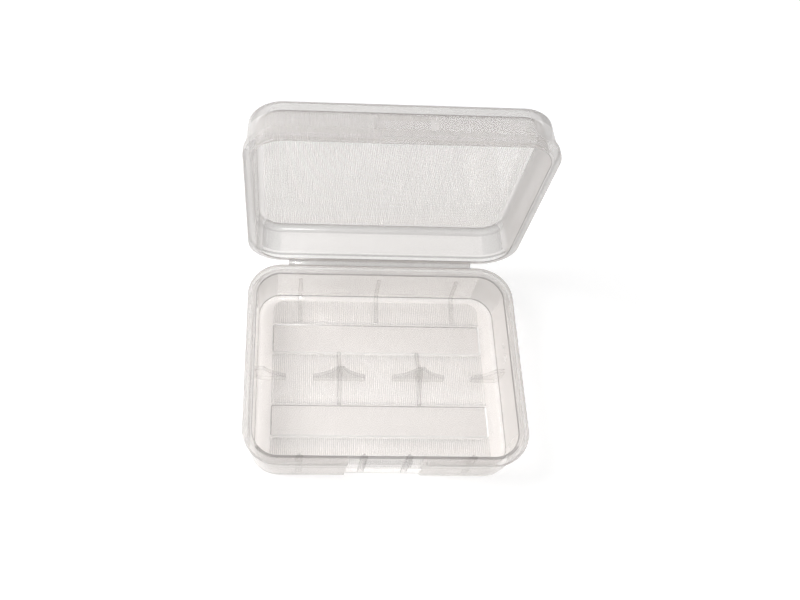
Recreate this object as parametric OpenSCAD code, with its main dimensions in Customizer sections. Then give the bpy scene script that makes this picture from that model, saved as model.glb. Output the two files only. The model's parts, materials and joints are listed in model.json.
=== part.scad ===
// Hinged moulded case that holds round cells side by side.
// The tray stands on the ground, its latch faces -Y and its hinge is at +Y.
// The origin is the centre of the tray's underside, and the lid is drawn open.

/* [Cells] */
// Diameter of one cell
cell_d = 26.5; // [24:0.5:27.5]
// Length of one cell
cell_l = 65; // [60:1:72]
// Centre distance from one cell to the next
pitch = 28.5; // [28:0.1:31]
// Number of cells side by side
cells = 3; // [2:1:5]

/* [Case] */
// Height of the tray
tray_h = 20.4; // [18:0.2:26]
// Height of the lid from the parting face to its flat top
lid_h = 13.4; // [11:0.2:17]
// Thickness of the floor and of the lid's plate
plate_t = 1.4; // [1:0.1:2]
// Width of the rim, seen from above
rim_w = 3.1; // [2.8:0.1:4]
// Radius of the case's upright corners
corner_r = 12; // [9:0.5:15]
// Angle between the closed lid and the lid as it is drawn
open_angle = 90; // [60:5:120]

/* [Cradles] */
// Thickness of the cradles, fins and end stops
web_t = 1.3; // [1:0.1:1.8]
// Height of the cradles above the underside
cradle_h = 12.6; // [10:0.2:15]
// Room under a cell that lies in its cradles
cell_lift = 2.5; // [1.5:0.1:3]

/* [Latch] */
// Width of the recess in the tray's front
recess_w = 25; // [20:1:30]
// Depth of that recess
recess_t = 1.5; // [1.2:0.1:1.8]
// Distance between the two ribs beside the catch
catch_w = 14.8; // [10:0.2:17]

/* [Hinge] */
// Width of the hinge film
film_w = 66; // [40:1:68]
// Distance from the rim's back edge to the hinge line
film_reach = 0.9; // [0.8:0.1:1.4]

/* [Hidden] */
eps = 0.01;

// End stops on the back and on the front wall, the room beyond each, and the
// room beside the outer cells.
stop_t = 0.5;
front_stop_t = 0.9;
end_room = 0.1;
side_room = 1.35;
case_w = cells * pitch + 2 * (side_room + rim_w);
case_d = cell_l + stop_t + front_stop_t + 2 * (end_room + rim_w);
half_w = case_w / 2;
half_d = case_d / 2;

// The parting gap lies between the tray's rim and the closed lid's rim.
parting_gap = 0.2;
parting_z = tray_h + parting_gap / 2;
lid_z = tray_h + parting_gap;
lid_top = lid_z + lid_h;
hinge_y = half_d + film_reach;

// Wall profiles, as insets from the rim's outer edge.
flange_t = 2.2;
flange_out = 0.7;
foot_inset = 1.5;
foot_round = 1.6;
floor_inset = rim_w + 0.35;
floor_round = 1.6;
ledge_w = 1.1;
ledge_drop = 1;
lip_gap = 0.15;
lip_h = 0.8;
lid_inset = 1.2;
lid_round = 2.4;
lid_room_round = 2.2;
edge_round = 0.3;
arc_steps = 6;
corner_steps = 9;

// Plain panels in the floor, either side of the middle.
panel_w = case_w - 2 * (floor_inset + 5.3);
panel_near = 9.9;
panel_d = 11.6;
panel_drop = 0.3;
panel_r = 1;

// Cradles, fins and end stops.
cradle_r = cell_d / 2 + 0.85;
cradle_z = plate_t + cell_lift + cradle_r;
arm = min(9.3, pitch / 2 - 3);
arm_tip = 1;
side_drop = 1;
fin_low = plate_t + 2;
fin_power = 2.6;
stop_top = tray_h - 4.8;
stop_foot_y = 4.9;
stop_foot_z = plate_t + 1.9;
stop_toe_y = 10.6;
stop_toe_z = plate_t + 0.6;
front_stop_w = 2.2;
front_stop_top = tray_h - ledge_drop - 0.4;
profile_steps = 12;

// Latch: ribs and a catch on the tray, a thumb hollow and a tab on the lid.
recess_draft = 1.1;
catch_rib_t = 0.9;
catch_rib_h = 5.6;
catch_root = 0.3;
catch_out = 0.4;
catch_z = tray_h - 1.9;
catch_h = 1;
shelf_out = 0.9;
shelf_t = 0.9;
notch_drop = 0.5;
tab_gap = 0.15;
tab_side_gap = 0.3;
tab_drop = 2.6;
thumb_w = 19;
thumb_h = 5.4;
thumb_t = 1;

// Hinge film, its bead on the hinge line and the lid's strap beside it.
bead_r = 0.35;
bead_gap = 0.1;
film_t = 0.45;
strap_end = 0.08;

case_colour = [0.86, 0.85, 0.83, 0.6];

// Points of a quarter circle that starts at angle a0.
function quarter(cx, cy, r, a0) =
    [for (i = [0:corner_steps]) let (a = a0 + 90 * i / corner_steps) [cx + r * cos(a), cy + r * sin(a)]];

// The case's plan, drawn in by an inset, as points at height z.
function plan(inset, z) =
    let (
        r = max(corner_r - inset, 0.5),
        x = half_w - inset - r,
        y = half_d - inset - r,
        flat = concat(quarter(x, y, r, 0), quarter(-x, y, r, 90), quarter(-x, -y, r, 180), quarter(x, -y, r, 270))
    )
    [for (p = flat) [p[0], p[1], z]];

// A round edge of a wall as pairs of inset and height. It starts at the flat
// face at height z, and up is 1 for a round above that face and -1 below it.
function round_edge(inset, z, r, up) =
    [for (s = [0:arc_steps]) let (a = 90 * s / arc_steps) [inset + r * (1 - sin(a)), z + up * r * (1 - cos(a))]];

function reversed(list) = [for (i = [len(list) - 1:-1:0]) list[i]];

// A solid skinned over a stack of plans, given from the bottom up as pairs of
// inset and height.
module loft(profile) {
    n = 4 * (corner_steps + 1);
    m = len(profile);
    sides = [
        for (k = [0:m - 2], i = [0:n - 1])
            let (j = (i + 1) % n)
            each [
                [k * n + i, (k + 1) * n + i, (k + 1) * n + j],
                [k * n + i, (k + 1) * n + j, k * n + j]
            ]
    ];
    bottom = [for (i = [0:n - 1]) i];
    top = [for (i = [n - 1:-1:0]) (m - 1) * n + i];
    polyhedron([for (p = profile) each plan(p[0], p[1])], concat(sides, [bottom, top]), convexity = 4);
}

// Turns what is drawn closed about the hinge line to the drawn angle.
module opened() {
    translate([0, hinge_y, parting_z])
        rotate([-open_angle, 0, 0])
            translate([0, -hinge_y, -parting_z])
                children();
}

// Extrudes an outline given in Y and Z along X, centred on the middle.
module along_x(width) {
    rotate([90, 0, 90])
        linear_extrude(width, center = true, convexity = 4)
            children();
}

// Extrudes an outline given in X and Z along Y, centred on the middle.
module along_y(width) {
    rotate([90, 0, 0])
        linear_extrude(width, center = true, convexity = 4)
            children();
}

// Outside of the tray: a round foot, a drafted wall and the rim's flange.
module tray_outside() {
    loft(concat(
        round_edge(foot_inset, 0, foot_round, 1),
        [
            [flange_out, tray_h - flange_t - 0.5],
            [0.1, tray_h - flange_t],
            [0, tray_h - flange_t + 0.2],
            [0, tray_h - edge_round],
            [edge_round, tray_h]
        ]
    ));
}

// Room inside the tray, with a round at the floor and a ledge at the rim.
module tray_room() {
    loft(concat(
        round_edge(floor_inset, plate_t, floor_round, 1),
        [
            [rim_w + 0.05, tray_h - ledge_drop - 0.3],
            [rim_w - 0.2, tray_h - ledge_drop],
            [rim_w - ledge_w, tray_h - ledge_drop + eps],
            [rim_w - ledge_w - 0.05, tray_h - 0.2],
            [rim_w - ledge_w - 0.2, tray_h + eps],
            [rim_w - ledge_w - 0.2, tray_h + 1]
        ]
    ));
}

// One plain panel, as the shallow cut that frames it.
module floor_panel(side) {
    x = panel_w / 2 - panel_r;
    y = panel_d / 2 - panel_r;
    translate([0, side * (panel_near + panel_d / 2), plate_t - panel_drop])
        for (sx = [-1, 1], sy = [-1, 1])
            translate([sx * x, sy * y, 0])
                cylinder(r = panel_r, h = panel_drop + 1, $fn = 24);
    translate([0, side * (panel_near + panel_d / 2), plate_t - panel_drop + (panel_drop + 1) / 2]) {
        cube([2 * x, panel_d, panel_drop + 1], center = true);
        cube([panel_w, 2 * y, panel_drop + 1], center = true);
    }
}

// The recess in the tray's front, as deep at the foot as at the rim.
module latch_recess() {
    y0 = -half_d;
    intersection() {
        along_x(recess_w + 4 * recess_t)
            polygon([
                [y0 - 2, -1],
                [y0 + recess_t + recess_draft, -1],
                [y0 + recess_t, tray_h - flange_t],
                [y0 + recess_t, tray_h + 1],
                [y0 - 2, tray_h + 1]
            ]);
        translate([0, 0, -2])
            linear_extrude(tray_h + 4)
                polygon([
                    [-recess_w / 2 + 1, y0 + recess_t + 2],
                    [-recess_w / 2 - 1, y0 - 1],
                    [recess_w / 2 + 1, y0 - 1],
                    [recess_w / 2 - 1, y0 + recess_t + 2]
                ]);
    }
}

// Height of a cradle's hollow at a distance from the line between two cells.
function hollow_z(d, cap) =
    min(cap, cradle_z - sqrt(max(pow(cradle_r, 2) - pow(pitch / 2 - d, 2), 0)));

// One arm of a cradle: its hollow edge, then its round tip and its foot.
function arm_edge(cap) =
    let (d1 = arm - arm_tip, z1 = hollow_z(d1, cap))
    concat(
        [for (k = [0:profile_steps]) let (d = d1 * k / profile_steps) [d, hollow_z(d, cap)]],
        [for (k = [1:4]) let (a = 90 * k / 4) [d1 + arm_tip * sin(a), z1 - arm_tip * (1 - cos(a))]],
        [[arm, plate_t - 0.5]]
    );

// A cradle between two cells, with an arm under each of them.
module cradle(x) {
    edge = arm_edge(cradle_h);
    translate([x, 0, 0])
        along_y(web_t)
            polygon(concat(edge, [for (p = reversed(edge)) [-p[0], p[1]]]));
}

// A half cradle that grows out of a side wall.
module side_cradle(side) {
    edge = arm_edge(cradle_h - side_drop);
    root = side_room + rim_w / 3;
    scale([side, 1, 1])
        translate([-cells * pitch / 2, 0, 0])
            along_y(web_t)
                polygon(concat([[-root, plate_t - 0.5], [-root, edge[0][1]]], edge));
}

// A fin along Y that stiffens a cradle: highest in the middle, hollow to its
// low ends.
module fin(x) {
    side = [
        for (k = [0:profile_steps])
            let (t = k / profile_steps)
            [panel_near * t, fin_low + (cradle_h - fin_low) * pow(1 - t, fin_power)]
    ];
    outline = concat(
        side,
        [[panel_near, plate_t - 0.5], [-panel_near, plate_t - 0.5]],
        [for (p = reversed(side)) if (p[0] > 0) [-p[0], p[1]]]
    );
    translate([x, 0, 0])
        along_x(web_t)
            polygon(outline);
}

// An end stop on the back wall: a slim rib that runs out along the floor.
module back_stop(x) {
    wall = half_d - rim_w;
    translate([x, 0, 0])
        along_x(web_t)
            polygon([
                [wall + 1, plate_t - 0.5],
                [wall + 1, stop_top],
                [wall - stop_t + 0.3, stop_top],
                [wall - stop_t, stop_top - 1],
                [wall - stop_t, stop_foot_z + 1.8],
                [wall - stop_t - 0.6, stop_foot_z + 0.6],
                [wall - stop_t - 1.6, stop_foot_z],
                [wall - stop_foot_y, stop_foot_z],
                [wall - stop_foot_y - 0.5, stop_toe_z],
                [wall - stop_toe_y, stop_toe_z],
                [wall - stop_toe_y, plate_t - 0.5]
            ]);
}

// An end stop on the front wall: an upright rib with a sharp edge.
module front_stop(x) {
    wall = -half_d + rim_w;
    translate([x, 0, plate_t - 0.5])
        linear_extrude(front_stop_top - plate_t + 0.5)
            polygon([
                [-front_stop_w / 2, wall - 0.5],
                [front_stop_w / 2, wall - 0.5],
                [front_stop_w / 2, wall],
                [0, wall + front_stop_t],
                [-front_stop_w / 2, wall]
            ]);
}

// The catch in the recess: a wedge between two upright ribs, over a shelf that
// joins the ribs' feet.
module catch() {
    face = -half_d + recess_t;
    for (side = [-1, 1])
        translate([side * catch_w / 2, 0, 0])
            along_x(catch_rib_t)
                polygon([
                    [face + catch_root, tray_h],
                    [face - recess_t + 0.3, tray_h],
                    [face - recess_t + 0.1, tray_h - 0.3],
                    [face - recess_t + 0.3, tray_h - catch_rib_h + 0.8],
                    [face + 0.1, tray_h - catch_rib_h],
                    [face + catch_root, tray_h - catch_rib_h]
                ]);
    along_x(catch_w - catch_rib_t + eps)
        polygon([
            [face + catch_root, catch_z + catch_h],
            [face, catch_z + catch_h],
            [face - catch_out, catch_z + 0.3],
            [face - catch_out, catch_z],
            [face + catch_root, catch_z]
        ]);
    shelf_z = tray_h - catch_rib_h;
    along_x(catch_w - catch_rib_t + eps)
        polygon([
            [face + 2 * catch_root, shelf_z],
            [face - shelf_out + 0.3, shelf_z],
            [face - shelf_out, shelf_z + 0.3],
            [face - shelf_out, shelf_z + shelf_t],
            [face + 2 * catch_root, shelf_z + shelf_t]
        ]);
}

// The rim between the catch's ribs lies a little lower, to clear the tab.
module catch_notch() {
    width = catch_w - catch_rib_t;
    translate([-width / 2, -half_d - 1, tray_h - notch_drop])
        cube([width, recess_t + 1.5, notch_drop + 1]);
}

module tray() {
    lines = [for (i = [1:cells - 1]) (i - cells / 2) * pitch];
    middles = [for (i = [0:cells - 1]) (i - (cells - 1) / 2) * pitch];
    fronts = concat([for (x = middles) if (abs(x) > recess_w / 2) x], [-catch_w / 2, catch_w / 2]);
    color(case_colour)
        union() {
            difference() {
                tray_outside();
                tray_room();
                floor_panel(1);
                floor_panel(-1);
                latch_recess();
                catch_notch();
            }
            for (x = lines) {
                cradle(x);
                fin(x);
            }
            side_cradle(1);
            side_cradle(-1);
            for (x = middles)
                back_stop(x);
            for (x = fronts)
                front_stop(x);
            catch();
        }
}

// Outside of the closed lid: flange, drafted wall and a round to its flat top.
module lid_outside() {
    loft(concat(
        [
            [edge_round, lid_z],
            [0, lid_z + edge_round],
            [0, lid_z + flange_t - 0.2],
            [0.1, lid_z + flange_t],
            [flange_out, lid_z + flange_t + 0.5]
        ],
        reversed(round_edge(lid_inset, lid_top, lid_round, -1))
    ));
}

// The lip below the lid's rim that fits inside the tray's rim.
module lid_lip() {
    inset = rim_w - ledge_w + lip_gap;
    loft([
        [inset + 0.2, lid_z - lip_h],
        [inset, lid_z - lip_h + 0.2],
        [inset, lid_z + 1]
    ]);
}

// Room inside the closed lid.
module lid_room() {
    loft(concat(
        [
            [rim_w - 0.15, lid_z - lip_h - 1],
            [rim_w - 0.15, lid_z - lip_h],
            [rim_w, lid_z - lip_h + 0.2]
        ],
        reversed(round_edge(floor_inset, lid_top - plate_t, lid_room_round, -1))
    ));
}

// The shallow hollow for a thumb in the front of the lid.
module thumb_hollow() {
    z0 = lid_z + flange_t + 0.4;
    y0 = -half_d + flange_out;
    along_x(thumb_w)
        polygon([
            [y0 - 2, z0],
            [y0 + thumb_t, z0 + 0.4],
            [y0 + thumb_t, z0 + thumb_h - 1],
            [y0 + thumb_t - 0.6, z0 + thumb_h],
            [y0 - 2, z0 + thumb_h]
        ]);
}

// The tab that hangs from the lid's rim and snaps over the catch.
module tab() {
    inner = -half_d + recess_t - catch_out - tab_gap;
    along_x(catch_w - catch_rib_t - 2 * tab_side_gap)
        polygon([
            [-half_d + 0.1, lid_z + 1.2],
            [-half_d + 0.1, lid_z - tab_drop + 0.3],
            [-half_d + 0.35, lid_z - tab_drop],
            [inner - 0.2, lid_z - tab_drop],
            [inner, lid_z - tab_drop + 0.6],
            [inner, lid_z + 0.3],
            [inner + 0.6, lid_z + 1.2]
        ]);
}

// The lid's half of the hinge film, which ends beside the bead.
module strap() {
    z0 = parting_z + bead_r + bead_gap;
    along_x(film_w)
        polygon([
            [half_d - 0.2, z0],
            [hinge_y - strap_end, z0],
            [hinge_y - strap_end, z0 + film_t],
            [half_d - 0.2, z0 + film_t + 0.15]
        ]);
}

module lid() {
    color(case_colour)
        opened() {
            difference() {
                union() {
                    lid_outside();
                    lid_lip();
                }
                lid_room();
                thumb_hollow();
            }
            tab();
            strap();
        }
}

// The tray's half of the hinge film: a thin web and a round bead on the line
// that the lid turns about.
module hinge_film() {
    z1 = parting_z - bead_r - bead_gap;
    color(case_colour) {
        translate([0, hinge_y, parting_z])
            rotate([0, 90, 0])
                cylinder(r = bead_r, h = film_w, center = true, $fn = 32);
        along_x(film_w)
            polygon([
                [half_d, z1 - film_t],
                [hinge_y - 0.3, z1 - film_t],
                [hinge_y - 0.05, z1 - film_t + 0.3],
                [hinge_y - 0.05, parting_z - bead_r + 0.1],
                [hinge_y - 0.3, parting_z - bead_r + 0.2],
                [hinge_y - 0.4, z1],
                [half_d, z1]
            ]);
    }
}

tray();
lid();
hinge_film();
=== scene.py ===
"""Open battery case of clear polypropylene: a shallow tray and its lid."""
import json
import math

import bmesh
import bpy
import numpy as np
from mathutils import Matrix, Vector


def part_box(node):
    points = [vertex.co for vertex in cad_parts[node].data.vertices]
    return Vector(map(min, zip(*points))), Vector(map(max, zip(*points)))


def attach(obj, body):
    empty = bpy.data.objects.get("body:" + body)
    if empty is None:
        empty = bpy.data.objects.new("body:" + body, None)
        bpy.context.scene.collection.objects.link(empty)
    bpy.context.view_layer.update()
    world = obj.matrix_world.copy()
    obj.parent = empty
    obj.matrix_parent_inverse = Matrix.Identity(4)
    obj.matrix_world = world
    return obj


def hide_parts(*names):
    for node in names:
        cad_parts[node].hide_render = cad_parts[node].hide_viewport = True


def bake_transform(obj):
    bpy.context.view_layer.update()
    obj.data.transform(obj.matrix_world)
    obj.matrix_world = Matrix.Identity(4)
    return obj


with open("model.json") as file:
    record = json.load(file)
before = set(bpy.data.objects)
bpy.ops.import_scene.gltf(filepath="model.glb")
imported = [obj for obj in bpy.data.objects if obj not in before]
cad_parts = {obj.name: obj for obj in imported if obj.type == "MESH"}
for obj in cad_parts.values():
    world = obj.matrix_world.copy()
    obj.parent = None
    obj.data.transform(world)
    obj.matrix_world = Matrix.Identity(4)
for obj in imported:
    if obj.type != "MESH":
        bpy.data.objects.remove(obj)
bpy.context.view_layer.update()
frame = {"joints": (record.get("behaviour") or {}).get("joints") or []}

MM = 0.001

# Driving sizes of the case in millimetres, worked out from the frame.
tray_low, tray_high = (np.array(c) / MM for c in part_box("tray"))
lid_high = np.array(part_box("lid")[1]) / MM
film_low, film_high = (np.array(c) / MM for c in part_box("hinge_film"))
hinge = frame["joints"][0]
HALF_W = (tray_high[0] - tray_low[0]) / 2
HALF_D = (tray_high[1] - tray_low[1]) / 2
TRAY_H = tray_high[2]
HINGE_Y = hinge["pos_m"][1] / MM
PARTING_Z = hinge["pos_m"][2] / MM
PARTING_GAP = 0.2
LID_Z = PARTING_Z + PARTING_GAP / 2
LID_TOP = PARTING_Z + (lid_high[1] - HINGE_Y)
PITCH = 28.5
CELLS = 3
PLATE_T = 1.4
RIM_W = 3.1
CORNER_R = 12.0

# Wall profiles, as insets from the rim's outer edge.
FLANGE_T = 2.2
FLANGE_OUT = 0.7
FOOT_INSET = 1.5
FOOT_ROUND = 1.6
FLOOR_INSET = RIM_W + 0.35
FLOOR_ROUND = 1.6
LEDGE_W = 1.1
LEDGE_DROP = 1.0
LIP_GAP = 0.15
LIP_H = 0.8
LID_INSET = 1.2
LID_ROUND = 2.4
LID_ROOM_ROUND = 2.2
EDGE = 0.3

# Latch.
RECESS_T = 1.5
RECESS_DRAFT = 1.1
RIB_X = 7.4
RIB_T = 0.9
RIB_H = 5.6
NOTCH_DROP = 0.5
CATCH_Z = TRAY_H - 1.9
CATCH_H = 1.0
CATCH_OUT = 0.4
SHELF_OUT = 0.9
SHELF_T = 0.9
THUMB_HALF = 9.5
THUMB_H = 5.4
THUMB_T = 1.0
TAB_DROP = 2.6
TAB_GAP = 0.15
TAB_SIDE_GAP = 0.3

# How far from the middle the recess and the notch start and are full, and the points of the
# front wall for them, the ribs and the thumb hollow.
RECESS_FLANK = (13.06, 12.39)
NOTCH_FLANK = (6.95, 6.8)
FRONT_STEPS = (13.3, 13.06, 12.85, 12.6, 12.39, 12.2, 9.8, 9.5, 9.2, 8.6, 7.1, 6.95, 6.8)

# Cradles, fins and end stops.
WEB_T = 1.3
CRADLE_H = 12.6
CRADLE_R = 14.1
CELL_LIFT = 2.5
CRADLE_Z = PLATE_T + CELL_LIFT + CRADLE_R
ARM = 9.3
ARM_TIP = 1.0
SIDE_DROP = 1.0
FIN_LOW = PLATE_T + 2.0
FIN_POWER = 2.6
STOP_T = 0.5
STOP_TOP = TRAY_H - 4.8
STOP_FOOT_Y = 4.9
STOP_FOOT_Z = PLATE_T + 1.9
STOP_TOE_Y = 10.6
STOP_TOE_Z = PLATE_T + 0.6
FRONT_STOP_T = 0.9
FRONT_STOP_W = 2.2
FRONT_STOP_TOP = TRAY_H - LEDGE_DROP - 0.4

# Plain panels and reeding in the floor and the lid.
PANEL_W = 2 * HALF_W - 2 * (FLOOR_INSET + 5.3)
PANEL_NEAR = 9.9
PANEL_D = 11.6
PANEL_R = 1.0
REED_PITCH = 0.7
REED_H = 0.18
REED_RUN_OUT = 0.35

# Hinge film, at its ends, and what it loses in the middle.
FILM_T = 0.3
FILM_THINNED = 0.1

# What stands on a plate starts this far off it, so that two faces never share a plane.
OFF_PLATE = 0.004
FLOOR_TOP = PLATE_T + OFF_PLATE

# Places of the materials on the shells, on the reeding and on the panel borders.
ON_WALL, ON_PLATE, ON_EDGE_SHADE, ON_CLEAR, ON_RIM_AND_SHADE = range(5)
ON_BEND_AND_SHADE = 3
ON_CREST_HIGHLIGHT, ON_HOLLOW_SHADE, ON_HIDDEN = range(3)
ON_PAINTED_LIGHT, ON_RUNOUT, ON_PAINTED_SHADE = 0, 1, 3

# What lies in front of this line belongs to the front wall.
FRONT_Y = -(HALF_D - CORNER_R) - 5


def look(elevation, yaw, roll):
    """Axes of a camera that looks down by the elevation.

    It is turned right by the yaw and tilted by the roll."""
    e, y, r = (math.radians(a) for a in (elevation, yaw, roll))
    ahead = Vector((math.sin(y) * math.cos(e), math.cos(y) * math.cos(e), -math.sin(e)))
    right = Vector((math.cos(y), -math.sin(y), 0))
    up = right.cross(ahead)
    tilted_right = right * math.cos(r) + up * math.sin(r)
    tilted_up = up * math.cos(r) - right * math.sin(r)
    return tilted_right, tilted_up, ahead


def add_camera():
    """The photograph's view: an 800 by 600 frame cut from right of the picture's optical centre."""
    width_px, height_px = 800, 600
    focal_px = 820.5
    centre_px = (331.5, 289.8)
    camera = bpy.data.cameras.new("camera")
    camera.sensor_width = 36
    camera.lens = focal_px / width_px * camera.sensor_width
    camera.shift_x = (width_px / 2 - centre_px[0]) / width_px
    camera.shift_y = (centre_px[1] - height_px / 2) / width_px
    camera.clip_start = 0.01
    right, up, ahead = look(elevation=62.276, yaw=6.451, roll=6.792)
    turn = Matrix((right, up, -ahead)).transposed().to_4x4()
    spot = Vector((-32.95, -108.13, 277.93)) * MM
    holder = bpy.data.objects.new("camera", camera)
    holder.matrix_world = Matrix.Translation(spot) @ turn
    bpy.context.scene.collection.objects.link(holder)
    bpy.context.scene.camera = holder


def add_mesh(name, verts, faces):
    """A mesh object from millimetre points and index faces, at the origin."""
    mesh = bpy.data.meshes.new(name)
    points = (np.asarray(verts, float) * MM).tolist()
    mesh.from_pydata(points, [], [list(map(int, f)) for f in faces])
    mesh.validate()
    obj = bpy.data.objects.new(name, mesh)
    bpy.context.scene.collection.objects.link(obj)
    return obj


def soften(obj, degrees):
    """Smooth shading, with edges left sharp where the faces turn by more than the angle."""
    obj.data.shade_smooth()
    obj.data.set_sharp_from_angle(angle=math.radians(degrees))


def round_edge(inset, z, r, up, steps=6):
    """A quarter round from a flat face at height z to the wall, as insets and heights."""
    a = np.linspace(0, math.pi / 2, steps + 1)
    return np.stack([inset + r * (1 - np.sin(a)), z + up * r * (1 - np.cos(a))], -1)


def opened(points):
    """Closed lid points turned back a quarter turn about the hinge line.

    Measured from that line, y takes z's place and z takes minus y's."""
    p = np.asarray(points, float)
    y = HINGE_Y + (p[..., 2] - PARTING_Z)
    z = PARTING_Z - (p[..., 1] - HINGE_Y)
    return np.stack([p[..., 0], y, z], -1)


# Points of the plan: more on the front wall, for the recess, the ribs and the thumb hollow.
corner_x = HALF_W - CORNER_R
corner_y = HALF_D - CORNER_R
front_x = np.unique(np.round(np.concatenate([
    np.linspace(-corner_x, corner_x, 41),
    [s * v for s in (-1, 1) for v in FRONT_STEPS],
]), 3))
side_s = np.linspace(-corner_y, corner_y, 9)
corner_a = np.linspace(0, math.pi / 2, 17)


def plan(inset):
    """The rounded plan of the case as points, drawn in by the inset.

    The corner arcs share their centres, so only their radius changes with the inset."""
    r = CORNER_R - inset

    def arc(cx, cy, a0):
        return np.stack([cx + r * np.cos(a0 + corner_a), cy + r * np.sin(a0 + corner_a)], -1)

    def line(x, y):
        return np.stack(np.broadcast_arrays(x, y), -1)

    q = math.pi / 2
    return np.concatenate([
        line(HALF_W - inset, side_s[1:-1]),
        arc(corner_x, corner_y, 0),
        line(front_x[::-1][1:-1], HALF_D - inset),
        arc(-corner_x, corner_y, q),
        line(-HALF_W + inset, side_s[::-1][1:-1]),
        arc(-corner_x, -corner_y, 2 * q),
        line(front_x[1:-1], -HALF_D + inset),
        arc(corner_x, -corner_y, 3 * q),
    ])


def skin(name, rings, index):
    """A closed surface over a stack of rings of points, with a flat cap at each end.

    The index gives each face of the wall its material, and the caps are plate."""
    m, n, _ = rings.shape
    k = np.arange(m - 1)[:, None] * n
    i = np.arange(n)[None, :]
    j = (i + 1) % n
    quads = np.stack([k + i, k + j, k + n + j, k + n + i], -1).reshape(-1, 4)
    faces = quads.tolist() + [list(range(n))[::-1], list(range((m - 1) * n, m * n))]
    obj = add_mesh(name, rings.reshape(-1, 3), faces)
    soften(obj, 38)
    obj.data.polygons.foreach_set("material_index", np.append(index.ravel(), [ON_PLATE, ON_PLATE]))
    return obj


def shell_rings(profile):
    """Rings of the plan at each inset and height of a wall profile."""
    return np.stack([
        np.concatenate([plan(i), np.full((len(plan(i)), 1), z)], -1) for i, z in profile
    ])


def ramp(v, low, high):
    """0 below low, 1 above high and a straight slope between."""
    return np.clip((v - low) / (high - low), 0, 1)


def tray_shell():
    """The tray's wall: a profile of insets and heights carried round the plan.

    It runs from under the foot, up outside, over the rim and its ledge, and down to the floor."""
    steps = 8
    under = TRAY_H - FLANGE_T
    on_ledge = TRAY_H - LEDGE_DROP
    outer = np.concatenate([
        round_edge(FOOT_INSET, 0, FOOT_ROUND, 1, steps),
        [[1.3, 6.0], [1.05, 11.0], [FLANGE_OUT + 0.02, under - 0.7]],
        [[FLANGE_OUT, under - 0.5], [0.45, under - 0.28]],
        [[0.1, under], [0.02, under + 0.12], [0, under + 0.3]],
        [[0, TRAY_H - EDGE], [0.03, TRAY_H - 0.16], [0.12, TRAY_H - 0.05], [EDGE, TRAY_H]],
    ])
    ledge_in = RIM_W - LEDGE_W
    inner = np.concatenate([
        [[ledge_in - 0.25, TRAY_H], [ledge_in - 0.1, TRAY_H - 0.05]],
        [[ledge_in - 0.05, TRAY_H - 0.2], [ledge_in, on_ledge + 0.12], [ledge_in + 0.1, on_ledge]],
        [[RIM_W - 0.2, on_ledge], [RIM_W - 0.03, on_ledge - 0.08], [RIM_W + 0.05, on_ledge - 0.3]],
        [[RIM_W + 0.06, on_ledge - 0.7], [RIM_W + 0.2, 10.0]],
        round_edge(FLOOR_INSET, PLATE_T, FLOOR_ROUND, 1, steps)[::-1],
    ])
    profile = np.concatenate([outer, inner])
    rings = shell_rings(profile)
    x = rings[..., 0]
    y = rings[..., 1]
    z = rings[..., 2]
    front = y < FRONT_Y
    inset = np.broadcast_to(profile[:, 0][:, None], x.shape)
    # The recess takes the outside back to a plane that leans in towards the foot.
    plane = RECESS_T + RECESS_DRAFT * (1 - ramp(z, -1, under))
    rim_side = z > TRAY_H - EDGE - 0.01
    squeezed = plane + inset * (ledge_in - RECESS_T - 0.05) / ledge_in
    target = np.where(rim_side, squeezed, np.maximum(plane, inset))
    outside = np.arange(len(profile))[:, None] < len(outer) + 2
    deep = ramp(-np.abs(x), -RECESS_FLANK[0], -RECESS_FLANK[1])
    shift = np.where(front & outside, deep * np.maximum(target - inset, 0), 0)
    rings[..., 1] = y + shift
    # The notch lowers the rim between the catch's two ribs, nearly level, so no faces collapse.
    low = TRAY_H - NOTCH_DROP
    notch = ramp(-np.abs(x), -NOTCH_FLANK[0], -NOTCH_FLANK[1]) * (front & (z > low))
    rings[..., 2] = z - notch * (z - low) * 0.98
    # Painted dark lines of shade, for light bent away, lie on the ledge's inner edge and the
    # floor's bend, and in front under the flange.
    index = np.full((len(profile) - 1, rings.shape[1]), ON_WALL)
    ledge = len(outer) + 5
    flange = len(outer) - 9
    index[flange:ledge] = ON_RIM_AND_SHADE
    index[[ledge, ledge + 1, ledge + 2, ledge + 5, ledge + 6]] = ON_EDGE_SHADE
    plan_x = rings[0, :, 0]
    plan_y = rings[0, :, 1]
    near = plan_y < FRONT_Y
    index[ledge - 1:ledge + 1, near] = ON_EDGE_SHADE
    index[flange, near] = ON_EDGE_SHADE
    # The back corners under the ledge are painted the rim's denser grey, as shade.
    corners = (plan_y > corner_y + 1) & (np.abs(plan_x) > corner_x + 1)
    index[ledge + 3:ledge + 5, corners] = ON_RIM_AND_SHADE
    # The wall at the recess is thinner and so clearer.
    window = near & (deep[0] > 0.9)
    index[steps:ledge - 1, window] = ON_CLEAR
    index[ledge + 3:, window] = ON_CLEAR
    return skin("tray_shell", rings, index)


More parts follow.
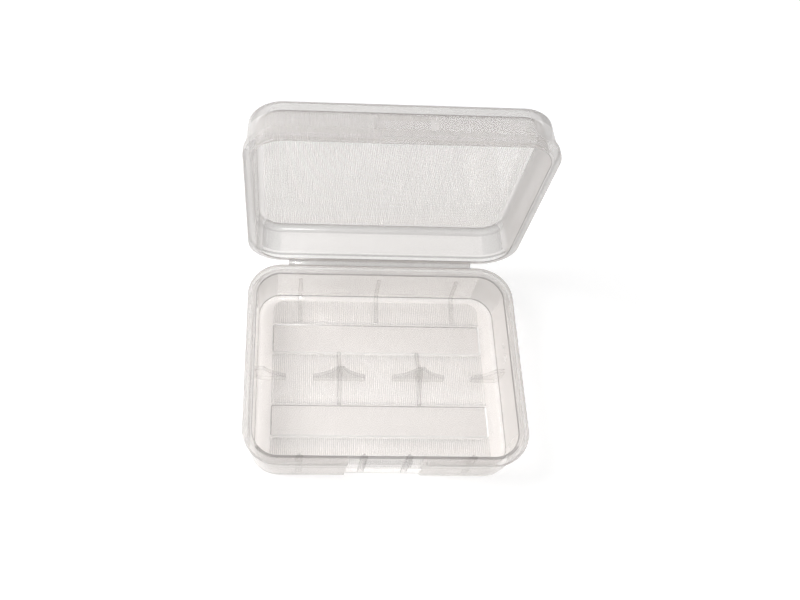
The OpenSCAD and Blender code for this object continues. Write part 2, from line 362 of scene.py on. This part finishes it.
def lid_shell():
    """The lid's wall, drawn closed and then opened: a profile carried round the plan.

    It runs from the room inside, over the lip and the rim, up outside and over the round top."""
    steps = 9
    lip_in = RIM_W - LEDGE_W + LIP_GAP
    lip_z = LID_Z - LIP_H
    inner = np.concatenate([
        round_edge(FLOOR_INSET, LID_TOP - PLATE_T, LID_ROOM_ROUND, -1, steps),
        [[RIM_W + 0.1, LID_Z + 2.0], [RIM_W, lip_z + 0.2], [RIM_W - 0.1, lip_z + 0.03]],
        [[RIM_W - 0.2, lip_z], [lip_in + 0.2, lip_z], [lip_in + 0.06, lip_z + 0.05]],
        [[lip_in, lip_z + 0.2], [lip_in - 0.02, LID_Z - 0.06], [lip_in - 0.12, LID_Z]],
    ])
    z0 = LID_Z + FLANGE_T
    # The outside leans in evenly from the flange to the round, with points for the thumb hollow.
    rise = [0.25, 0.6, THUMB_H - 1.2, THUMB_H - 0.7, THUMB_H - 0.3, THUMB_H, THUMB_H + 0.3]
    wall_z = z0 + 0.4 + np.array(rise)
    wall_top = LID_TOP - LID_ROUND - z0 - 0.5
    wall_inset = FLANGE_OUT + (LID_INSET - FLANGE_OUT) * (wall_z - z0 - 0.5) / wall_top
    outer = np.concatenate([
        [[EDGE, LID_Z], [0.12, LID_Z + 0.05], [0.03, LID_Z + 0.16], [0, LID_Z + EDGE]],
        [[0, z0 - 0.3], [0.02, z0 - 0.12], [0.1, z0], [0.45, z0 + 0.28], [FLANGE_OUT, z0 + 0.5]],
        np.stack([wall_inset, wall_z], -1),
        round_edge(LID_INSET, LID_TOP, LID_ROUND, -1, steps)[::-1],
    ])
    profile = np.concatenate([inner, outer])
    rings = shell_rings(profile)
    x = rings[..., 0]
    z = rings[..., 2]
    front = rings[..., 1] < FRONT_Y
    outside = np.arange(len(profile))[:, None] >= len(inner)
    # The thumb hollow is a shallow pocket with rounded ends.
    low_end = ramp(z, z0 + 0.5, z0 + 1.0)
    tall = low_end * ramp(-z, -(z0 + 0.4 + THUMB_H), -(z0 + THUMB_H - 0.8))
    wide = ramp(-np.abs(x), -THUMB_HALF, -THUMB_HALF + 0.9)
    pocket = np.where(front & outside, tall * wide, 0)
    # The lip's inner edge and the flange hold painted dark lines of shade, and the rounds to the
    # top are thick and painted a grey shade; the hinge side's row takes the rim's grey as painted
    # shade.
    index = np.full((len(profile) - 1, rings.shape[1]), ON_WALL)
    plan_x = rings[0, :, 0]
    plan_y = rings[0, :, 1]
    by_hinge = plan_y > corner_y + 3
    lip = steps + 2
    flange = len(inner) + 6
    index[lip:lip + 2, by_hinge | (plan_x > corner_x + 3)] = ON_EDGE_SHADE
    index[flange:flange + 2] = ON_EDGE_SHADE
    index[:steps, np.abs(plan_y) > corner_y + 3] = ON_BEND_AND_SHADE
    index[steps, by_hinge] = ON_RIM_AND_SHADE
    index[steps, by_hinge & (np.abs(plan_x) > corner_x + 1)] = ON_BEND_AND_SHADE
    index[-steps:] = ON_BEND_AND_SHADE
    index[-steps - 1, plan_y < -corner_y - 3] = ON_BEND_AND_SHADE
    # The pocket's sides are painted the rim's denser grey too, as shade.
    beside = np.roll(pocket, -1, 1)
    around = np.stack([pocket[:-1], pocket[1:], beside[:-1], beside[1:]])
    index[np.ptp(around, 0) > 0.1] = ON_RIM_AND_SHADE
    rings[..., 1] += THUMB_T * pocket
    return skin("lid_shell", opened(rings)[:, ::-1], index[:, ::-1])


def prism(name, outline, low, high, along="x", bevel=0.18, turn=None):
    """A plate: an outline in the other two directions, drawn out from low to high.

    Its sharp edges are rounded, and the rounds take the second material."""
    o = np.asarray(outline, float)
    n = len(o)
    order = {"x": lambda t: np.stack([np.full(n, t), o[:, 0], o[:, 1]], -1),
             "y": lambda t: np.stack([o[:, 0], np.full(n, t), o[:, 1]], -1),
             "z": lambda t: np.stack([o[:, 0], o[:, 1], np.full(n, t)], -1)}[along]
    verts = np.concatenate([order(low), order(high)])
    if turn is not None:
        verts = turn(verts)
    i = np.arange(n)
    j = (i + 1) % n
    faces = np.stack([i, j, n + j, n + i], -1).tolist() + [i[::-1].tolist(), (n + i).tolist()]
    obj = add_mesh(name, verts, faces)
    point_outwards(obj)
    if bevel:
        finish = obj.modifiers.new("rounded edges", "BEVEL")
        finish.width = bevel * MM
        finish.segments = 3
        finish.limit_method = "ANGLE"
        finish.angle_limit = math.radians(40)
        finish.material = 1
    soften(obj, 55)
    return obj


def point_outwards(obj):
    """Turns a closed mesh's faces outwards."""
    b = bmesh.new()
    b.from_mesh(obj.data)
    bmesh.ops.remove_doubles(b, verts=b.verts, dist=1e-7)
    bmesh.ops.recalc_face_normals(b, faces=b.faces)
    b.to_mesh(obj.data)
    b.free()


def hollow_z(d, cap):
    """Height of a cradle's hollow at a distance from the line between two cells.

    It is the lower half of a circle about the cell, cut flat at the cap."""
    u = PITCH / 2 - d
    return np.minimum(cap, CRADLE_Z - np.sqrt(np.maximum(CRADLE_R ** 2 - u ** 2, 0)))


def arm_edge(cap, foot):
    """One arm of a cradle: its hollow edge, its round tip and its foot."""
    d1 = ARM - ARM_TIP
    d = np.linspace(0, d1, 25)
    top = np.stack([d, hollow_z(d, cap)], -1)
    a = np.linspace(0, math.pi / 2, 7)[1:]
    tip_z = hollow_z(np.array([d1]), cap)[0]
    tip = np.stack([d1 + ARM_TIP * np.sin(a), tip_z - ARM_TIP * (1 - np.cos(a))], -1)
    return np.concatenate([top, tip, [[ARM, foot]]])


def webs():
    """Cradles, fins, side cradles and end stops, all standing on the floor."""
    foot = FLOOR_TOP
    made = []
    for k, x in enumerate((np.arange(1, CELLS) - CELLS / 2) * PITCH):
        edge = arm_edge(CRADLE_H, foot)
        whole = np.concatenate([edge, (edge * [-1, 1])[::-1]])
        cradle = prism(f"cradle_{k + 1}", whole + [x, 0], -WEB_T / 2, WEB_T / 2, "y")
        t = np.linspace(0, 1, 25)
        side = np.stack([PANEL_NEAR * t, FIN_LOW + (CRADLE_H - FIN_LOW) * (1 - t) ** FIN_POWER], -1)
        feet = [[PANEL_NEAR, foot], [-PANEL_NEAR, foot]]
        whole = np.concatenate([side, feet, (side * [-1, 1])[:0:-1]])
        fin = prism(f"fin_{k + 1}", whole, x - WEB_T / 2, x + WEB_T / 2, "x")
        made += [cradle, fin]
    for side, word in ((-1, "left"), (1, "right")):
        edge = arm_edge(CRADLE_H - SIDE_DROP, foot)
        root = HALF_W - RIM_W - CELLS * PITCH / 2 + 0.15
        root_low = HALF_W - FLOOR_INSET - CELLS * PITCH / 2 + 0.1
        half = np.concatenate([[[-root_low + FLOOR_ROUND, foot], [-root_low, foot + FLOOR_ROUND]],
                               [[-root, edge[0, 1]]], edge])
        made.append(prism(f"side_cradle_{word}", (half + [-CELLS * PITCH / 2, 0]) * [-side, 1],
                          -WEB_T / 2, WEB_T / 2, "y"))
    wall = HALF_D - RIM_W
    stop = np.array([
        [wall + 0.1, 14.0], [wall + 0.02, STOP_TOP], [wall - STOP_T + 0.3, STOP_TOP],
        [wall - STOP_T, STOP_TOP - 1], [wall - STOP_T, STOP_FOOT_Z + 1.8],
        [wall - STOP_T - 0.2, STOP_FOOT_Z + 1.1], [wall - STOP_T - 0.6, STOP_FOOT_Z + 0.6],
        [wall - STOP_T - 1.6, STOP_FOOT_Z], [wall - STOP_FOOT_Y, STOP_FOOT_Z],
        [wall - STOP_FOOT_Y - 0.5, STOP_TOE_Z], [wall - STOP_TOE_Y, STOP_TOE_Z],
        [wall - STOP_TOE_Y, foot], [wall - 2.0, foot], [wall - 0.3, foot + 1.2],
    ])
    middles = (np.arange(CELLS) - (CELLS - 1) / 2) * PITCH
    for k, x in enumerate(middles):
        made.append(prism(f"end_stop_back_{k + 1}", stop, x - WEB_T / 2, x + WEB_T / 2, "x"))
    half = FRONT_STOP_W / 2
    vee = np.array([[-half, -wall - 0.5], [half, -wall - 0.5], [half, -wall],
                    [0, -wall + FRONT_STOP_T], [-half, -wall]])
    for k, x in enumerate([middles[0], -RIB_X, RIB_X, middles[-1]]):
        name = f"end_stop_front_{k + 1}"
        made.append(prism(name, vee + [x, 0], foot, FRONT_STOP_TOP, "z", 0.12))
    return made


def latch_parts():
    """The catch on the tray: two ribs, a wedge and a shelf; and the tab on the lid."""
    face = -HALF_D + RECESS_T
    rib = [[face + 0.3, TRAY_H - 0.02], [face - RECESS_T + 0.3, TRAY_H - 0.02],
           [face - RECESS_T + 0.1, TRAY_H - 0.3], [face - RECESS_T + 0.3, TRAY_H - RIB_H + 0.8],
           [face + 0.1, TRAY_H - RIB_H], [face + 0.3, TRAY_H - RIB_H]]
    made = [prism(f"catch_rib_{w}", rib, s * RIB_X - RIB_T / 2, s * RIB_X + RIB_T / 2, "x", 0.12)
            for s, w in ((-1, "left"), (1, "right"))]
    half = RIB_X - RIB_T / 2
    z = CATCH_Z
    tip = face - CATCH_OUT
    wedge = [[face + 0.05, z + CATCH_H], [tip, z + 0.3], [tip, z], [face + 0.05, z]]
    made.append(prism("catch_wedge", wedge, -half, half, "x", 0.08))
    z = TRAY_H - RIB_H
    lip = face - SHELF_OUT
    shelf = [[face + 0.25, z], [lip + 0.3, z], [lip, z + 0.3], [lip, z + SHELF_T],
             [face + 0.25, z + SHELF_T]]
    made.append(prism("catch_shelf", shelf, -half, half, "x", 0.12))
    inner = face - CATCH_OUT - TAB_GAP
    tab = [[-HALF_D + 0.12, LID_Z + 0.05], [-HALF_D + 0.12, LID_Z - TAB_DROP + 0.3],
           [-HALF_D + 0.35, LID_Z - TAB_DROP], [inner - 0.2, LID_Z - TAB_DROP],
           [inner, LID_Z - TAB_DROP + 0.6], [inner, LID_Z + 0.05]]
    half -= TAB_SIDE_GAP
    return made, [prism("tab", tab, -half, half, "x", 0.12, turn=opened)]


def reeded_strip(name, half, ends, rounds, place):
    """Fine ridges along y: a raised cosine across x on a thin closed strip.

    It fades at its two ends, whose corners are rounded by the radius given for each."""
    # Each ridge is eight faces wide: four of crest between two of hollow on either side.
    ridge = [ON_HOLLOW_SHADE] * 2 + [ON_CREST_HIGHLIGHT] * 4 + [ON_HOLLOW_SHADE] * 2
    n = int(round(2 * half / REED_PITCH)) * len(ridge)
    x = np.linspace(-half, half, n + 1)
    over = [np.maximum(np.abs(x) - half + r, 0) for r in rounds]
    pull = [r - np.sqrt(np.maximum(r ** 2 - o ** 2, 0)) for r, o in zip(rounds, over)]
    near = ends[0] + pull[0]
    far = ends[1] - pull[1]
    y = np.stack([near, near + REED_RUN_OUT, far - REED_RUN_OUT, far])
    fade = np.array([0.05, 1, 1, 0.05])
    wave = REED_H * (0.5 - 0.5 * np.cos(2 * math.pi * (x + half) / REED_PITCH))
    top = np.stack([np.broadcast_to(x, y.shape), y, 0.02 + fade[:, None] * wave[None]], -1)
    base = np.stack(np.broadcast_arrays(x[None], y[[0, -1]], 0.0), -1)
    verts = np.concatenate([top.reshape(-1, 3), base.reshape(-1, 3)])
    m = n + 1
    i = np.arange(n)
    quads = [np.stack([r * m + i, r * m + i + 1, (r + 1) * m + i + 1, (r + 1) * m + i], -1)
             for r in range(3)]
    b0, b1 = 4 * m, 5 * m
    quads.append(np.stack([b0 + i, b1 + i, b1 + i + 1, b0 + i + 1], -1))
    quads.append(np.stack([b0 + i, b0 + i + 1, i + 1, i], -1))
    quads.append(np.stack([3 * m + i, 3 * m + i + 1, b1 + i + 1, b1 + i], -1))
    faces = np.concatenate(quads).tolist()
    faces.append([0, m, 2 * m, 3 * m, b1, b0])
    faces.append([n, b0 + n, b1 + n, 3 * m + n, 2 * m + n, m + n])
    obj = add_mesh(name, place(verts), faces)
    index = np.full(len(faces), ON_HIDDEN)
    index[:3 * n] = np.tile(ridge, 3 * n // len(ridge))
    obj.data.polygons.foreach_set("material_index", index)
    point_outwards(obj)
    soften(obj, 50)
    return obj


def on_floor(points):
    """Points of a strip laid on the tray's floor."""
    return points + [0, 0, FLOOR_TOP]


def on_lid(points):
    """Points of a strip turned over, laid on the lid's plate and opened with it."""
    return opened(points * [1, 1, -1] + [0, 0, LID_TOP - PLATE_T - OFF_PLATE])


def rounded_rectangle(w, d, r, steps):
    """Points round a rectangle of half sides w and d, with a quarter circle at each corner."""
    q = np.linspace(0, math.pi / 2, steps)
    corners = [(w - r, d - r), (-w + r, d - r), (-w + r, -d + r), (w - r, -d + r)]
    arcs = []
    for k, (cx, cy) in enumerate(corners):
        a = q + k * math.pi / 2
        arcs.append(np.stack([cx + r * np.cos(a), cy + r * np.sin(a)], -1))
    return np.concatenate(arcs)


def panel_frame(name, sign):
    """The low border of a plain panel: a small bead swept round a rounded rectangle."""
    steps = 7
    path = rounded_rectangle(PANEL_W / 2, PANEL_D / 2, PANEL_R, steps)
    nxt = np.roll(path, -1, 0) - np.roll(path, 1, 0)
    nxt /= np.linalg.norm(nxt, axis=1)[:, None]
    out = np.stack([nxt[:, 1], -nxt[:, 0]], -1)
    section = np.array([[-0.45, 0.0], [-0.06, 0.2], [0.1, 0.22], [0.6, 0.14], [1.4, 0.0]])
    m, n = len(path), len(section)
    xy = path[:, None, :] + out[:, None, :] * section[None, :, :1]
    z = np.broadcast_to(section[None, :, 1:] + PLATE_T + OFF_PLATE, (m, n, 1))
    verts = np.concatenate([xy, z], -1)
    verts[..., 1] += sign * (PANEL_NEAR + PANEL_D / 2)
    i = np.arange(m)[:, None]
    j = np.arange(n)[None]
    i2, j2 = (i + 1) % m, (j + 1) % n
    quads = np.stack([i * n + j, i2 * n + j, i2 * n + j2, i * n + j2], -1).reshape(-1, 4)
    obj = add_mesh(name, verts.reshape(-1, 3), quads)
    # The step on the panel's side has painted light along two sides and painted shade along the
    # other two, from the middle of one corner to the middle of the opposite one. The slope outside
    # it runs out into the floor.
    index = np.tile([ON_PAINTED_LIGHT, ON_RUNOUT, ON_RUNOUT, ON_RUNOUT, ON_HIDDEN], (m, 1))
    corner = steps // 2
    index[corner:corner + m // 2, 0] = ON_PAINTED_SHADE
    obj.data.polygons.foreach_set("material_index", index.ravel())
    point_outwards(obj)
    return obj


def panel_face(name, sign):
    """A panel's plain face: a thin plate with rounded corners, inside the border, in painted shade.
    """
    margin = 0.4
    outline = rounded_rectangle(PANEL_W / 2 - margin, PANEL_D / 2 - margin, 0.7, 5)
    outline[:, 1] += sign * (PANEL_NEAR + PANEL_D / 2)
    return prism(name, outline, FLOOR_TOP, PLATE_T + 0.03, "z", 0)


def film():
    """The thin hinge film: a strip along a curve from the tray's rim to the lid's.

    The curve is a parabola through three control points, and the strip thins to its middle."""
    start = np.array([HALF_D - 0.05, TRAY_H - 0.65])
    end = np.array([HINGE_Y + 0.75, PARTING_Z + HINGE_Y - HALF_D + 0.05])
    bend = np.array([HINGE_Y + 0.72, TRAY_H - 0.68])
    t = np.linspace(0, 1, 15)[:, None]
    mid = (1 - t) ** 2 * start + 2 * t * (1 - t) * bend + t ** 2 * end
    ahead = np.gradient(mid, axis=0)
    ahead /= np.linalg.norm(ahead, axis=1)[:, None]
    out = np.stack([ahead[:, 1], -ahead[:, 0]], -1)
    thick = FILM_T - FILM_THINNED * np.sin(math.pi * t)
    outline = np.concatenate([mid + out * thick / 2, (mid - out * thick / 2)[::-1]])
    half = (film_high[0] - film_low[0]) / 2
    xs = np.linspace(-half, half, 12)
    n = len(outline)
    verts = np.concatenate([
        np.stack([np.full(n, x), outline[:, 0], outline[:, 1]], -1) for x in xs
    ])
    k = np.arange(len(xs) - 1)[:, None] * n
    i = np.arange(n)[None]
    j = (i + 1) % n
    faces = np.stack([k + i, k + j, k + n + j, k + n + i], -1).reshape(-1, 4).tolist()
    faces += [list(range(n))[::-1], list(range((len(xs) - 1) * n, len(xs) * n))]
    obj = add_mesh("film", verts, faces)
    point_outwards(obj)
    soften(obj, 50)
    return obj


def colour(text):
    """An sRGB hex colour as linear red, green, blue and alpha."""
    v = np.array([int(text[i:i + 2], 16) for i in (0, 2, 4)]) / 255
    v = np.where(v <= 0.04045, v / 12.92, ((v + 0.055) / 1.055) ** 2.4)
    return (*v.tolist(), 1.0)


def add_node(tree, kind, links=(), **settings):
    """A node with its settings, and links given as pairs of input name and source socket."""
    node = tree.nodes.new(kind)
    for key, value in settings.items():
        if key in node.inputs:
            node.inputs[key].default_value = value
        else:
            setattr(node, key, value)
    for name, source in links:
        tree.links.new(source, node.inputs[name])
    return node


def new_material(name):
    """An empty node material and its tree."""
    material = bpy.data.materials.new(name)
    material.use_nodes = True
    material.node_tree.nodes.clear()
    return material, material.node_tree


def polypropylene(name, clear, milky, through, thin, thick, roughness, grain_mm, gloss=0.8):
    """Clear moulded polypropylene: a milky see-through wall with faint flow haze and gloss.

    Its opacity goes from thin, face on, to thick, where it is turned away from the eye."""
    material, tree = new_material("clear polypropylene, " + name)
    haze_mm = 9
    where = add_node(tree, "ShaderNodeTexCoord")
    haze = add_node(tree, "ShaderNodeTexNoise", [("Vector", where.outputs["Object"])],
                    Scale=1 / (haze_mm * MM), Detail=3.0)
    base = add_node(tree, "ShaderNodeMix", [("Factor", haze.outputs["Fac"])], data_type="RGBA")
    base.inputs[6].default_value = colour(clear)
    base.inputs[7].default_value = colour(milky)
    fine = add_node(tree, "ShaderNodeTexNoise", [("Vector", where.outputs["Object"])],
                    Scale=1 / (grain_mm * MM), Detail=2.0)
    rough = add_node(tree, "ShaderNodeMapRange", [("Value", fine.outputs["Fac"])])
    rough.inputs["To Min"].default_value = roughness * 0.8
    rough.inputs["To Max"].default_value = roughness * 1.3
    wave = add_node(tree, "ShaderNodeBump", [("Height", haze.outputs["Fac"])],
                    Strength=0.05, Distance=0.4 * MM)
    shader = add_node(tree, "ShaderNodeBsdfPrincipled", [
        ("Base Color", base.outputs[2]),
        ("Roughness", rough.outputs["Result"]),
        ("Normal", wave.outputs["Normal"]),
    ], IOR=1.49, Alpha=thin)
    shader.inputs["Transmission Weight"].default_value = through
    shader.inputs["Specular IOR Level"].default_value = gloss
    if thick > thin:
        facing = add_node(tree, "ShaderNodeLayerWeight", Blend=0.5)
        alpha = add_node(tree, "ShaderNodeMapRange", [("Value", facing.outputs["Facing"])])
        alpha.inputs["To Min"].default_value = thin
        alpha.inputs["To Max"].default_value = thick
        tree.links.new(alpha.outputs["Result"], shader.inputs["Alpha"])
    add_node(tree, "ShaderNodeOutputMaterial", [("Surface", shader.outputs["BSDF"])])
    return material


def give(materials, *objs):
    """Sets the materials on pieces."""
    for obj in objs:
        for material in materials:
            obj.data.materials.append(material)


def background_rays(tree):
    """One for rays that the camera sends straight, through glass or off gloss, else nought."""
    ray = add_node(tree, "ShaderNodeLightPath")
    first = add_node(tree, "ShaderNodeMath", [
        (0, ray.outputs["Is Camera Ray"]),
        (1, ray.outputs["Is Transmission Ray"]),
    ], operation="MAXIMUM")
    second = add_node(tree, "ShaderNodeMath", [
        (0, first.outputs[0]),
        (1, ray.outputs["Is Glossy Ray"]),
    ], operation="MAXIMUM")
    return second.outputs[0]


def add_stage():
    """A pale floor that reads white to the camera and keeps the case's soft shadow."""
    size = 1.6
    mesh = bpy.data.meshes.new("floor")
    corners = [(-size, -size, 0), (size, -size, 0), (size, size, 0), (-size, size, 0)]
    mesh.from_pydata(corners, [], [(0, 1, 2, 3)])
    mesh.transform(Matrix.Translation((0, 0, -0.2 * MM)))
    floor = bpy.data.objects.new("floor", mesh)
    bpy.context.scene.collection.objects.link(floor)
    material, tree = new_material("white paper sweep")
    # The sweep reads white far from the lamps too, and near the case it keeps the shadow.
    where = add_node(tree, "ShaderNodeTexCoord")
    away = add_node(tree, "ShaderNodeVectorMath", [("Vector", where.outputs["Object"])],
                    operation="LENGTH")
    lift = add_node(tree, "ShaderNodeMapRange", [("Value", away.outputs["Value"])])
    lift.inputs["From Min"].default_value = 0.15
    lift.inputs["From Max"].default_value = 0.7
    lift.inputs["To Min"].default_value = 0.4
    lift.inputs["To Max"].default_value = 0.62
    seen = add_node(tree, "ShaderNodeMath", [
        (0, lift.outputs["Result"]),
        (1, background_rays(tree)),
    ], operation="MULTIPLY")
    glow = add_node(tree, "ShaderNodeEmission", [("Strength", seen.outputs[0])], Color=(1, 1, 1, 1))
    paper = add_node(tree, "ShaderNodeBsdfDiffuse", Color=colour("F4F4F4"))
    both = add_node(tree, "ShaderNodeAddShader")
    tree.links.new(paper.outputs[0], both.inputs[0])
    tree.links.new(glow.outputs[0], both.inputs[1])
    add_node(tree, "ShaderNodeOutputMaterial", [("Surface", both.outputs[0])])
    mesh.materials.append(material)


def add_lamp(name, spot, aim, size, watts):
    """A square soft lamp at one point, turned to face another."""
    lamp = bpy.data.lights.new(name, "AREA")
    lamp.size = size
    lamp.energy = watts
    holder = bpy.data.objects.new(name, lamp)
    holder.location = spot
    holder.rotation_euler = (Vector(aim) - Vector(spot)).to_track_quat("-Z", "Y").to_euler()
    bpy.context.scene.collection.objects.link(holder)
    return holder


def add_light():
    """Plain soft studio light: an even pale world, two large lamps and a small one for glints."""
    world = bpy.data.worlds.new("studio")
    bpy.context.scene.world = world
    world.use_nodes = True
    tree = world.node_tree
    back = tree.nodes["Background"]
    back.inputs["Color"].default_value = (1, 1, 1, 1)
    strength = add_node(tree, "ShaderNodeMapRange", [("Value", background_rays(tree))])
    strength.inputs["To Min"].default_value = 0.45
    strength.inputs["To Max"].default_value = 1.0
    tree.links.new(strength.outputs["Result"], back.inputs["Strength"])
    add_lamp("key", spot=(-0.3, 0.04, 0.36), aim=(0, 0, 0.02), size=0.22, watts=1.0)
    add_lamp("fill", spot=(0.3, -0.5, 0.5), aim=(0, 0, 0.03), size=0.5, watts=0.8)
    glint = add_lamp("front", spot=(-0.027, -0.108, 0.285), aim=(0, 0.02, 0.03),
                     size=0.012, watts=0.5)
    glint.visible_diffuse = False


bpy.context.scene.view_settings.view_transform = "Standard"
add_camera()
shell = tray_shell()
tray_webs = webs()
catch, tab = latch_parts()
lid = lid_shell()

# The reeding keeps clear of the panels' borders and of the rounds at the walls.
beside = 0.4
middle_y = PANEL_NEAR - beside
panel_far = PANEL_NEAR + PANEL_D + beside
floor_y = HALF_D - FLOOR_INSET - FLOOR_ROUND - 0.15
reed_x = PANEL_W / 2
floor_r = 4
floor_reeds = [
    reeded_strip("floor_reeds_middle", reed_x, (-middle_y, middle_y), (0, 0), on_floor),
    reeded_strip("floor_reeds_front", reed_x, (-floor_y, -panel_far), (floor_r, 0), on_floor),
    reeded_strip("floor_reeds_back", reed_x, (panel_far, floor_y), (0, floor_r), on_floor),
]
top_x = HALF_W - FLOOR_INSET - LID_ROOM_ROUND - 0.1
top_y = HALF_D - FLOOR_INSET - LID_ROOM_ROUND - 0.1
top_r = CORNER_R - FLOOR_INSET - LID_ROOM_ROUND
lid_reeds = reeded_strip("lid_reeds", top_x, (-top_y, top_y), (top_r, top_r), on_lid)
borders = [panel_frame("panel_border_back", 1), panel_frame("panel_border_front", -1)]
panels = [panel_face("panel_back", 1), panel_face("panel_front", -1)]
hinge_strip = film()

# One plastic all over, glossy from a polished mould. Each material is that plastic at one
# thickness and bend, some with painted light or shade, as hex colours for its clear and its milky
# parts.
# The floor is see-through face on and milky at a slant.
plate = polypropylene(
    "floor plate", "F0E9E4", "E8E1DC",
    through=0.5, thin=0.32, thick=0.75, roughness=0.08, grain_mm=0.5,
)
# The lid's plate has nothing behind it, so it reads thinner than the floor.
lid_plate = polypropylene(
    "lid plate", "EEE7E2", "E6DFDA",
    through=0.5, thin=0.2, thick=0.5, roughness=0.08, grain_mm=0.5,
)
# The tray's walls are clear face on and turn pale and dense along their height.
tray_wall = polypropylene(
    "tray wall", "F4EEEA", "ECE6E1",
    through=0.5, thin=0.3, thick=0.9, roughness=0.06, grain_mm=0.5, gloss=0.5,
)
# The rim is solid plastic, so it reads as a soft grey band around the case. Its denser grey is
# also painted as shade on the back corners, the lid's hinge side and the thumb hollow's sides.
rim = polypropylene(
    "thick rim and painted shade", "E4DFDB", "DAD5D1",
    through=0.3, thin=0.38, thick=0.85, roughness=0.1, grain_mm=0.5, gloss=0.3,
)
# The lid's walls are a painted shade greyer than the tray's; the table shows through them.
lid_wall_shaded = polypropylene(
    "lid wall, painted shade", "DCD7D3", "D2CDC9",
    through=0.2, thin=0.18, thick=0.8, roughness=0.1, grain_mm=0.5, gloss=0.4,
)
# A sharp inner edge bends light away, and a dark hairline of painted shade stands for it.
edge = polypropylene(
    "painted edge shade", "8A8683", "7E7A77",
    through=0.1, thin=0.55, thick=0.95, roughness=0.1, grain_mm=0.5, gloss=0.4,
)
# A round bend is thicker to look through, and its wide grey is partly painted shade for the
# light it bends away.
bend = polypropylene(
    "thick bend with painted shade", "B0ABA7", "A49F9B",
    through=0.2, thin=0.35, thick=0.9, roughness=0.15, grain_mm=0.5, gloss=0.2,
)
# A thin web is nearly clear, and its two faces only tint what lies behind.
web = polypropylene(
    "thin webs", "F8F3EF", "F0EBE7",
    through=0.4, thin=0.06, thick=0.38, roughness=0.06, grain_mm=0.4,
)
# The catch and the wall at the recess are the clearest, and read almost white.
clear_web = polypropylene(
    "thin catch web", "FFFBF8", "F8F4F1",
    through=0.4, thin=0.05, thick=0.3, roughness=0.06, grain_mm=0.4,
)
# The rounded edge of a web bends the light, and a fine grey outline of painted shade stands for it.
outline = polypropylene(
    "painted shade on a web's rounded edge", "9E9A97", "928E8B",
    through=0.1, thin=0.26, thick=0.45, roughness=0.08, grain_mm=0.4,
)
# The crest of a floor ridge carries a pale line of painted highlight.
crest = polypropylene(
    "reeding crest", "FCF9F7", "F8F5F3",
    through=0.0, thin=0.4, thick=0.6, roughness=0.15, grain_mm=0.3,
)
# The hollow between two floor ridges is painted a little darker, as shade.
hollow_shade = polypropylene(
    "reeding hollow", "B8B4B1", "ACA8A5",
    through=0.0, thin=0.1, thick=0.2, roughness=0.2, grain_mm=0.3,
)
# The lid's ridges carry the same painted highlight and shade, softer, as the light falls along
# them.
lid_crest_highlight = polypropylene(
    "lid reeding crest", "FFFBF8", "FBF7F4",
    through=0.0, thin=0.35, thick=0.45, roughness=0.12, grain_mm=0.3,
)
lid_hollow_shade = polypropylene(
    "lid reeding hollow", "BCB8B4", "B0ACA8",
    through=0.0, thin=0.07, thick=0.14, roughness=0.12, grain_mm=0.3,
)
# A plain panel has no ridges to catch the light, so a sheet over it is painted an even tint
# greyer, as shade.
panel_shade_tint = polypropylene(
    "plain panel", "CCC7C3", "C2BDB9",
    through=0.0, thin=0.07, thick=0.2, roughness=0.08, grain_mm=0.5,
)
# A panel's step has a painted highlight along two sides and painted shade along the other two.
lit = polypropylene(
    "painted highlight border", "FFFFFF", "FFFFFF",
    through=0.0, thin=0.9, thick=0.95, roughness=0.1, grain_mm=0.3,
)
dim = polypropylene(
    "painted shade border", "8E8A87", "827E7B",
    through=0.0, thin=0.5, thick=0.6, roughness=0.15, grain_mm=0.3,
)
# The slope outside the step runs out into the floor and barely shows.
runout = polypropylene(
    "run-out slope", "F4F0ED", "EEEAE7",
    through=0.0, thin=0.0, thick=0.1, roughness=0.12, grain_mm=0.3,
)
# A face that is fused with the plate under it has no surface of its own to see.
fused = polypropylene(
    "fused face", "F6F4F2", "EFEDEB",
    through=0.0, thin=0.0, thick=0.0, roughness=0.2, grain_mm=0.3,
)
# The bent film is whitened a little where it folds, and reads as a dull strip.
film_clear = polypropylene(
    "bent film", "C8C4C1", "BCB8B5",
    through=0.4, thin=0.5, thick=0.95, roughness=0.06, grain_mm=0.4,
)
small = [*tray_webs, *catch, *tab, *borders, *panels, *floor_reeds, lid_reeds]
give([tray_wall, plate, edge, clear_web, rim], shell)
give([lid_wall_shaded, lid_plate, edge, bend, rim], lid)
give([film_clear], hinge_strip)
give([web, outline], *tray_webs[:-4], *catch[:2])
# The front stops' rounded edges take the thick bend's painted shade.
give([clear_web, bend], *tray_webs[-4:])
give([clear_web, clear_web], *catch[2:], *tab)
give([panel_shade_tint], *panels)
give([lit, runout, fused, dim], *borders)
give([crest, hollow_shade, fused], *floor_reeds)
give([lid_crest_highlight, lid_hollow_shade, fused], lid_reeds)
for piece in small:
    piece.visible_shadow = False

for piece in [shell, *tray_webs, *catch, *floor_reeds, *borders, *panels]:
    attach(piece, "tray")
for piece in [lid, lid_reeds, *tab]:
    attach(piece, "lid")
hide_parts("tray")
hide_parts("lid")
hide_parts("hinge_film")
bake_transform(hinge_strip)

add_stage()
add_light()
